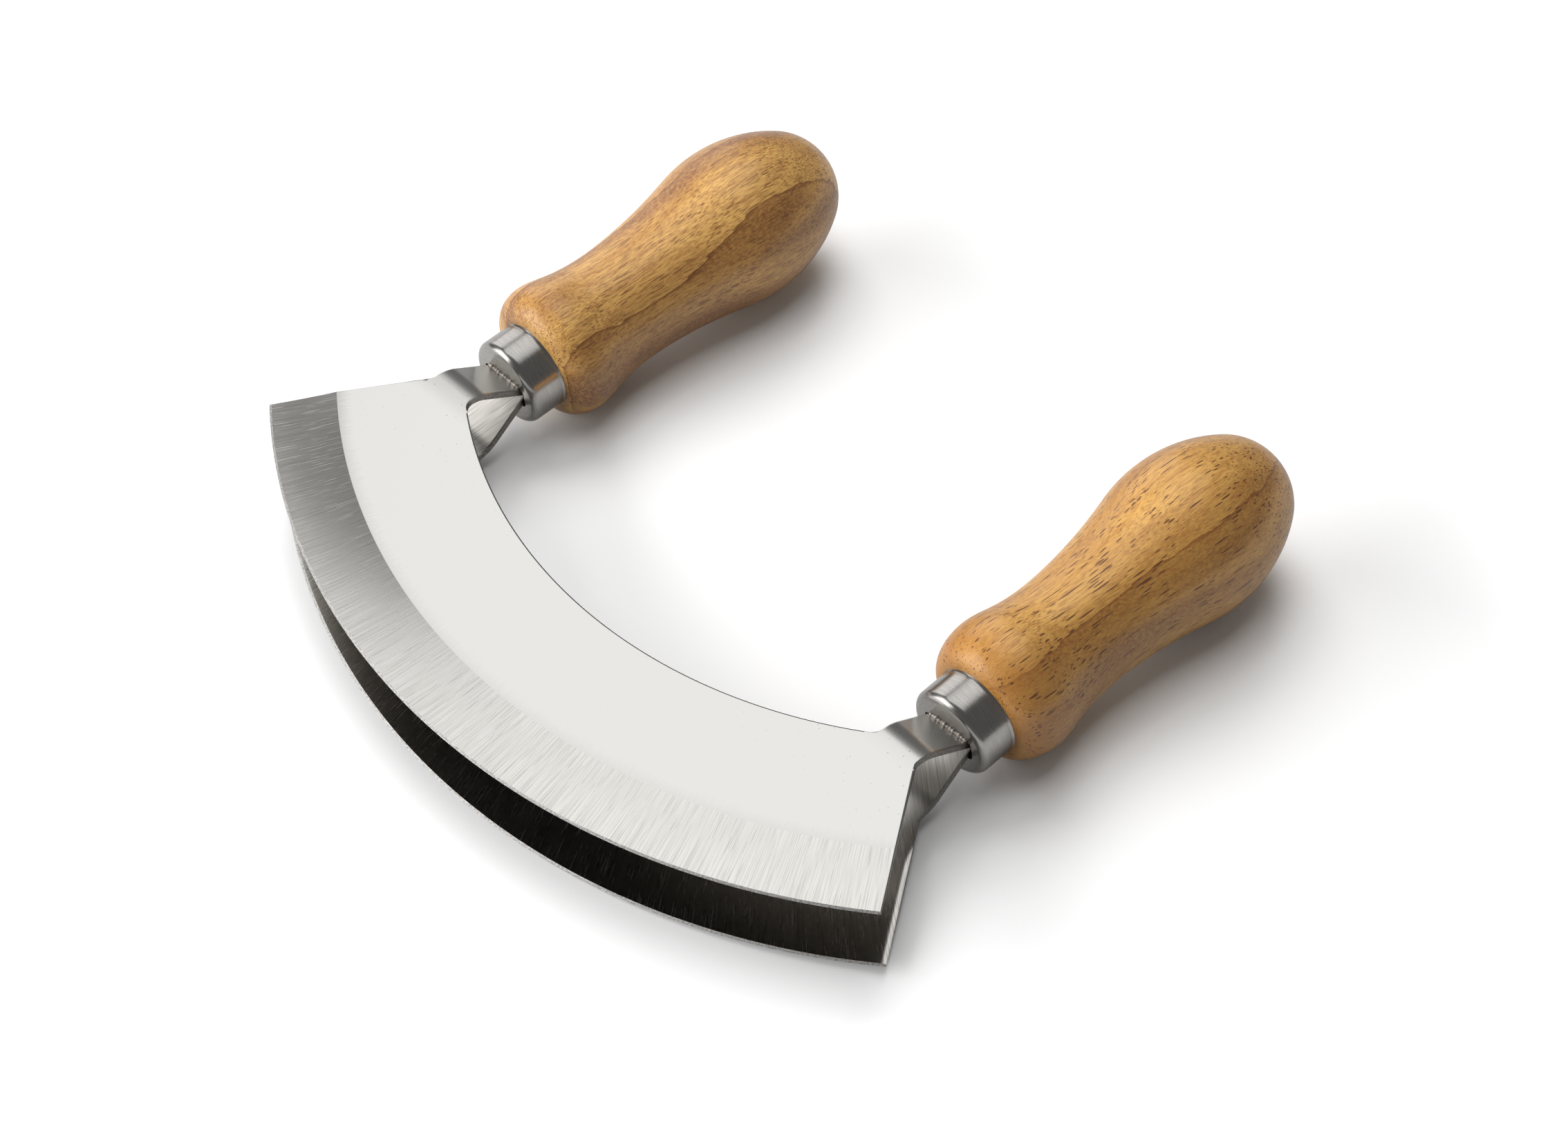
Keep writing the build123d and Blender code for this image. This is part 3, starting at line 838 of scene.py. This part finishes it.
def drawn_ferrule():
    """Drawn steel cup, polished on a lathe: fine rings, drawn coarser than they are so that they show,
    spread its gloss along the axis, and slight flutes make the edges of what it mirrors ragged."""
    finish, tree, body = new_finish(
        "lathe_polished_ferrule", Metallic=1.0, Roughness=0.25, Anisotropic=0.6, Anisotropic_Rotation=0.25
    )
    chart = add(tree, "ShaderNodeUVMap", uv_map="surface")
    tangent = add(tree, "ShaderNodeTangent", direction_type="UV_MAP", uv_map="surface")
    tree.links.new(tangent.outputs[0], body.inputs["Tangent"])
    ringed = add(tree, "ShaderNodeMapping", {"Vector": chart, "Scale": per(4.0, 0.16, 1.0)})
    fluted = add(tree, "ShaderNodeMapping", {"Vector": chart, "Scale": per(1.3, 0.8, 1.0)})
    rings = add(tree, "ShaderNodeTexNoise", {"Vector": ringed, "Scale": 1.0, "Detail": 3.0, "Roughness": 0.6})
    flutes = add(tree, "ShaderNodeTexNoise", {"Vector": fluted, "Scale": 1.0, "Detail": 3.0})
    tone = add(tree, "ShaderNodeValToRGB", {0: rings}, stops=((0.3, "#A19E9A"), (0.7, "#BEBCB8")))
    tree.links.new(tone.outputs[0], body.inputs["Base Color"])
    ragged = add(tree, "ShaderNodeBump", {"Height": flutes, "Distance": 0.008 * MM})
    turned = add(tree, "ShaderNodeBump", {"Height": rings, "Distance": 0.003 * MM, "Normal": ragged})
    tree.links.new(turned.outputs[0], body.inputs["Normal"])
    return finish


def lacquered_wood(hand, tints, seed, fibre_turn, ring_axis, ring_place, ring_share, pore_share, soaked):
    """Rubberwood turned and lacquered. Each growth ring starts at a dark line and pales from there; fine
    streaks run along the fibre; vessels show as dark dashes on the grip and as dots on end grain, and the
    shoulder's end grain has soaked up more lacquer."""
    finish, tree, body = new_finish(
        f"lacquered_rubberwood_{hand}", Roughness=0.45, Coat_Weight=0.4, Coat_Roughness=0.18
    )
    side = sides[hand]
    crest = ferrule_length + fit_line + shoulder_depths[hand]
    turn = Matrix.Rotation(table_tilt, 3, "X") @ Matrix.Rotation(side * handle_lean, 3, "Z")
    own = own_place(tree, on_table(along_handle(np.zeros(3), side)), turn)
    fibred = add(tree, "ShaderNodeMapping", {"Vector": own, "Rotation": (0.0, 0.0, fibre_turn)})
    dark, _, light, warm, pore_tint, line_tint = (colour(tint) for tint in tints)
    layers = {}
    for layer, size, detail in (
        ("bands", (9.0, 60.0, 7.0), 2.0),
        ("streaks", (1.0, 24.0, 1.0), 4.0),
        ("fibre", (0.24, 3.0, 0.24), 3.0),
        ("mottle", (0.45, 0.9, 0.45), 3.0),
        ("clusters", (3.5, 16.0, 3.5), 1.0),
    ):
        sized = add(
            tree, "ShaderNodeMapping", {"Vector": fibred, "Scale": per(*size), "Location": (seed, seed, seed)}
        )
        layers[layer] = add(tree, "ShaderNodeTexNoise", {"Vector": sized, "Scale": 1.0, "Detail": detail})
    across = add(tree, "ShaderNodeVectorMath", {0: own, 1: ring_axis}, operation="DOT_PRODUCT")
    measured = add(tree, "ShaderNodeMath", {0: across.outputs["Value"], 1: ring_place * MM})
    rings = add(tree, "ShaderNodeMath", {0: measured, 1: per(ring_step)[0]}, operation="MULTIPLY")
    swayed = add(tree, "ShaderNodeMath", {0: layers["bands"], 1: 0.14, 2: rings}, operation="MULTIPLY_ADD")
    ragged = add(tree, "ShaderNodeMath", {0: layers["streaks"], 1: 0.1, 2: swayed}, operation="MULTIPLY_ADD")
    ring = add(tree, "ShaderNodeMath", {0: ragged, 1: -0.12}, operation="ADD")
    phase = add(tree, "ShaderNodeMath", {0: ring}, operation="FRACT")
    paled = {0: phase, 1: ring_share, 2: -0.4 * ring_share}
    banded = add(tree, "ShaderNodeMath", paled, operation="MULTIPLY_ADD")
    level = add(tree, "ShaderNodeMath", {0: layers["bands"], 1: banded})
    stops = ((0.34, tints[0]), (0.5, tints[1]), (0.68, tints[2]))
    shade = add(tree, "ShaderNodeValToRGB", {0: level}, stops=stops)
    station = add(tree, "ShaderNodeSeparateXYZ", {0: own}).outputs[1]
    soak_start, soak_end = (crest - soak_before) * MM, (crest + soak_after) * MM
    for mask, start, end, first, last, tint in (
        (layers["streaks"], 0.48, 0.66, 0.0, 0.7, warm),
        (layers["fibre"], 0.44, 0.66, 0.0, 0.8, dark),
        (layers["mottle"], 0.4, 0.65, 0.0, 0.35, light),
        (phase, 0.035, 0.008, 0.0, 0.6, line_tint),
        (station, soak_start, soak_end, soaked, 0.0, warm),
    ):
        share = add(tree, "ShaderNodeMapRange", {0: mask, 1: start, 2: end, 3: first, 4: last})
        shade = add(tree, "ShaderNodeMix", {0: share, 6: shade, 7: tint}, data_type="RGBA").outputs[2]
    crowd = add(tree, "ShaderNodeMapRange", {0: layers["clusters"], 1: 0.3, 2: 0.55, 3: 0.5, 4: 1.0})
    pores = None
    for size, least, reach in (((0.75, 15.0, 0.75), 0.04, 0.3), ((0.52, 8.0, 0.52), 0.05, 0.4)):
        sized = add(
            tree, "ShaderNodeMapping", {"Vector": fibred, "Scale": per(*size), "Location": (seed, seed, seed)}
        )
        cells = add(tree, "ShaderNodeTexVoronoi", {"Vector": sized, "Scale": 1.0})
        chance = add(tree, "ShaderNodeSeparateColor", {0: cells.outputs["Color"]})
        width = add(tree, "ShaderNodeMapRange", {0: chance, 1: 0.0, 2: 1.0, 3: least, 4: reach})
        crowded = add(tree, "ShaderNodeMath", {0: width, 1: crowd}, operation="MULTIPLY")
        inside = add(tree, "ShaderNodeMath", {0: crowded, 1: cells}, operation="SUBTRACT")
        pore = add(tree, "ShaderNodeMapRange", {0: inside, 1: 0.0, 2: 0.06})
        if pores is None:
            pores = pore
        else:
            pores = add(tree, "ShaderNodeMath", {0: pores, 1: pore}, operation="MAXIMUM")
    share = add(tree, "ShaderNodeMath", {0: pores, 1: pore_share}, operation="MULTIPLY")
    shade = add(tree, "ShaderNodeMix", {0: share, 6: shade, 7: pore_tint}, data_type="RGBA").outputs[2]
    tree.links.new(shade, body.inputs["Base Color"])
    hollow = add(tree, "ShaderNodeMath", {0: layers["fibre"], 1: pores}, operation="SUBTRACT")
    skin = add(tree, "ShaderNodeBump", {"Height": layers["mottle"], "Distance": 0.03 * MM})
    relief = add(tree, "ShaderNodeBump", {"Height": hollow, "Distance": 0.05 * MM, "Normal": skin})
    tree.links.new(relief.outputs[0], body.inputs["Normal"])
    return finish


def cured_resin(name, lump, roughness, dark, light):
    """Epoxy that holds the tangs: uneven where it was poured or squeezed out, in lumps of a given size."""
    finish, tree, body = new_finish(name, Roughness=roughness)
    place = add(tree, "ShaderNodeTexCoord").outputs["Object"]
    pour = add(tree, "ShaderNodeTexNoise", {"Vector": place, "Scale": per(lump)[0], "Detail": 2.0})
    tone = add(tree, "ShaderNodeValToRGB", {0: pour}, stops=((0.3, dark), (0.7, light)))
    tree.links.new(tone.outputs[0], body.inputs["Base Color"])
    uneven = add(tree, "ShaderNodeBump", {"Height": pour, "Distance": 0.1 * MM})
    tree.links.new(uneven.outputs[0], body.inputs["Normal"])
    return finish


FLAT, BEVEL, INNER, SIDE, LAND = range(5)
blade_finishes = [
    polished_flat(),
    ground_steel("ground_bevel_steel", "#B9B7B2", "#D2D0CC", 0.17, 0.0012, 0.5, 0.0),
    ground_steel("ground_inner_face", "#95928E", "#C4C1BC", 0.17, 0.0008, 0.5, math.radians(18.0)),
    sheared_side(),
    honed_land(),
]
ferrule_steel = drawn_ferrule()
resin = cured_resin("cured_epoxy_bed", 1.5, 0.25, "#5C5140", "#8A7A60")
bead_resin = cured_resin("squeezed_out_epoxy", 0.5, 0.4, "#8F857B", "#D2CBC3")
handle_woods = {
    "right_handle": lacquered_wood(
        "right",
        ("#805526", "#A5793B", "#BB8F49", "#926028", "#552F12", "#6A3B17"),
        seed=3.1,
        fibre_turn=math.radians(4.5),
        ring_axis=(0.64, -0.022, -0.768),
        ring_place=5.63,
        ring_share=0.14,
        pore_share=0.9,
        soaked=0.55,
    ),
    "left_handle": lacquered_wood(
        "left",
        ("#714620", "#A1763D", "#BF9451", "#87582A", "#5A3313", "#5E3515"),
        seed=7.7,
        fibre_turn=math.radians(2.0),
        ring_axis=(1.0, 0.0, 0.0),
        ring_place=-10.5,
        ring_share=0.26,
        pore_share=0.55,
        soaked=0.0,
    ),
}

for blade, up in (("upper_blade", 1), ("lower_blade", -1)):
    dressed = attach(blade_piece(f"{blade}_steel", up), "root")
    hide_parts(blade)
for hand, side in sides.items():
    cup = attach(ferrule_piece(f"{hand}_ferrule_cup", side), "root")
    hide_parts(f"{hand}_ferrule")
    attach(bead_piece(f"{hand}_slot_bead", side), "root")
    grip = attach(handle_piece(f"{hand}_handle", side), "root")
    grip.name = f"{hand}_handle_wood"
    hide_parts(f"{hand}_handle")
    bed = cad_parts[f"{hand}_tang_glue"]
    bed.data.materials.clear()
    bed.data.materials.append(resin)


# Studio: table, lights and camera
def direction(azimuth, elevation):
    """Unit vector at an azimuth from +Y towards +X and an elevation, in degrees."""
    a, e = math.radians(azimuth), math.radians(elevation)
    return Vector((math.cos(e) * math.sin(a), math.cos(e) * math.cos(a), math.sin(e)))


def panel(name, place, back, across, size, radiance, diffuse=True, glossy=True):
    """Rectangular soft light of a given radiance, its back to one direction and its width along another."""
    lamp = bpy.data.lights.new(name, "AREA")
    lamp.shape, lamp.size, lamp.size_y = "RECTANGLE", *size
    lamp.energy = radiance * math.pi * size[0] * size[1]
    light = bpy.data.objects.new(name, lamp)
    bpy.context.scene.collection.objects.link(light)
    rear = Vector(back).normalized()
    upward = rear.cross(Vector(across)).normalized()
    light.matrix_world = Matrix((upward.cross(rear), upward, rear)).transposed().to_4x4()
    light.matrix_world.translation = Vector(place)
    light.visible_camera = False
    light.visible_diffuse = diffuse
    light.visible_glossy = glossy
    return light


def facing(name, azimuth, elevation, size, radiance, **seen_by):
    """Panel that faces the tool from an azimuth and elevation, level across."""
    toward = direction(azimuth, elevation)
    level = Vector((0.0, 0.0, 1.0)).cross(toward)
    return panel(name, toward * light_distance, toward, level, size, radiance, **seen_by)


# The lights proper shine on matt surfaces only, and the glows are what the steel and lacquer mirror
light_distance = 1.8
facing("window_light", azimuth=-143, elevation=22, size=(2.4, 1.1), radiance=7.8, glossy=False)
facing("softbox_light", azimuth=-55, elevation=56, size=(1.2, 1.0), radiance=5.2, glossy=False)
facing("ceiling_light", azimuth=0, elevation=87, size=(1.0, 1.0), radiance=4.1, glossy=False)
facing("window_glow", azimuth=-140, elevation=22, size=(1.2, 1.5), radiance=2.7, diffuse=False)
facing("left_glow", azimuth=-68, elevation=22, size=(1.0, 1.2), radiance=1.3, diffuse=False)
panel(
    "softbox_glow",
    place=(-0.6715, 0.696, 1.578),
    back=(0.107, -0.313, 0.944),
    across=(0.816, 0.569, 0.096),
    size=(1.29, 1.7),
    radiance=1.21,
    diffuse=False,
)

world = bpy.data.worlds.new("studio_air")
bpy.context.scene.world = world
world.use_nodes = True
air_strength, mirrored_strength = 0.2, 0.14
mirrored = add(world.node_tree, "ShaderNodeLightPath").outputs["Is Glossy Ray"]
strengths = {0: mirrored, 3: air_strength, 4: mirrored_strength}
strength = add(world.node_tree, "ShaderNodeMapRange", strengths)
world.node_tree.nodes["Background"].inputs[0].default_value = colour("#FFFFFF")
world.node_tree.links.new(strength.outputs[0], world.node_tree.nodes["Background"].inputs[1])

table_size = 6.0
net = bpy.data.meshes.new("table_top")
half = table_size / 2
net.from_pydata([(-half, -half, 0), (half, -half, 0), (half, half, 0), (-half, half, 0)], [], [(0, 1, 2, 3)])
table_top = bpy.data.objects.new("table_top", net)
bpy.context.scene.collection.objects.link(table_top)
paper, tree, body = new_finish("matt_white_paper", Roughness=0.9, Specular_IOR_Level=0.0)
# Painted shade in the paper's reflections: its colour is painted darker, 0.5 instead of 0.8, for the rays
# that the steel and lacquer mirror than for the camera and for the light it passes on
seen = add(tree, "ShaderNodeLightPath").outputs["Is Glossy Ray"]
tone = {0: seen, 6: (0.8, 0.8, 0.8, 1.0), 7: (0.5, 0.5, 0.5, 1.0)}
tree.links.new(add(tree, "ShaderNodeMix", tone, data_type="RGBA").outputs[2], body.inputs["Base Color"])
place = add(tree, "ShaderNodeTexCoord").outputs["Object"]
grain = add(tree, "ShaderNodeTexNoise", {"Vector": place, "Scale": per(0.5)[0], "Detail": 2.0})
pressed = add(tree, "ShaderNodeBump", {"Height": grain, "Distance": 0.012 * MM})
tree.links.new(pressed.outputs[0], body.inputs["Normal"])
net.materials.append(paper)

# Camera: its focal length in pixels of the photograph, its place in the tool's frame, and its axes there
focal_pixels = 5811.3
photo_width = 2268
film_width = 36.0
camera = bpy.data.objects.new("camera", bpy.data.cameras.new("camera"))
bpy.context.scene.collection.objects.link(camera)
camera.data.sensor_width = film_width
camera.data.lens = focal_pixels / photo_width * film_width
camera.data.clip_start, camera.data.clip_end = 0.05, 20.0
camera_place = np.array([409.952, -379.713, 614.247])
rightward = np.array([0.68118793, 0.72826314, -0.07493865])
downward = np.array([0.53411, -0.56435729, -0.62946593])
forward = np.array([-0.50070901, 0.38875911, -0.773406])
tip = np.array(Matrix.Rotation(table_tilt, 3, "X"))
axes = (tip @ np.stack([rightward, -downward, -forward], axis=-1)).tolist()
stand = Matrix(axes).to_4x4()
stand.translation = Vector(on_table(camera_place).tolist())
camera.matrix_world = stand
bpy.context.scene.camera = camera
bpy.context.scene.view_settings.view_transform = "Standard"
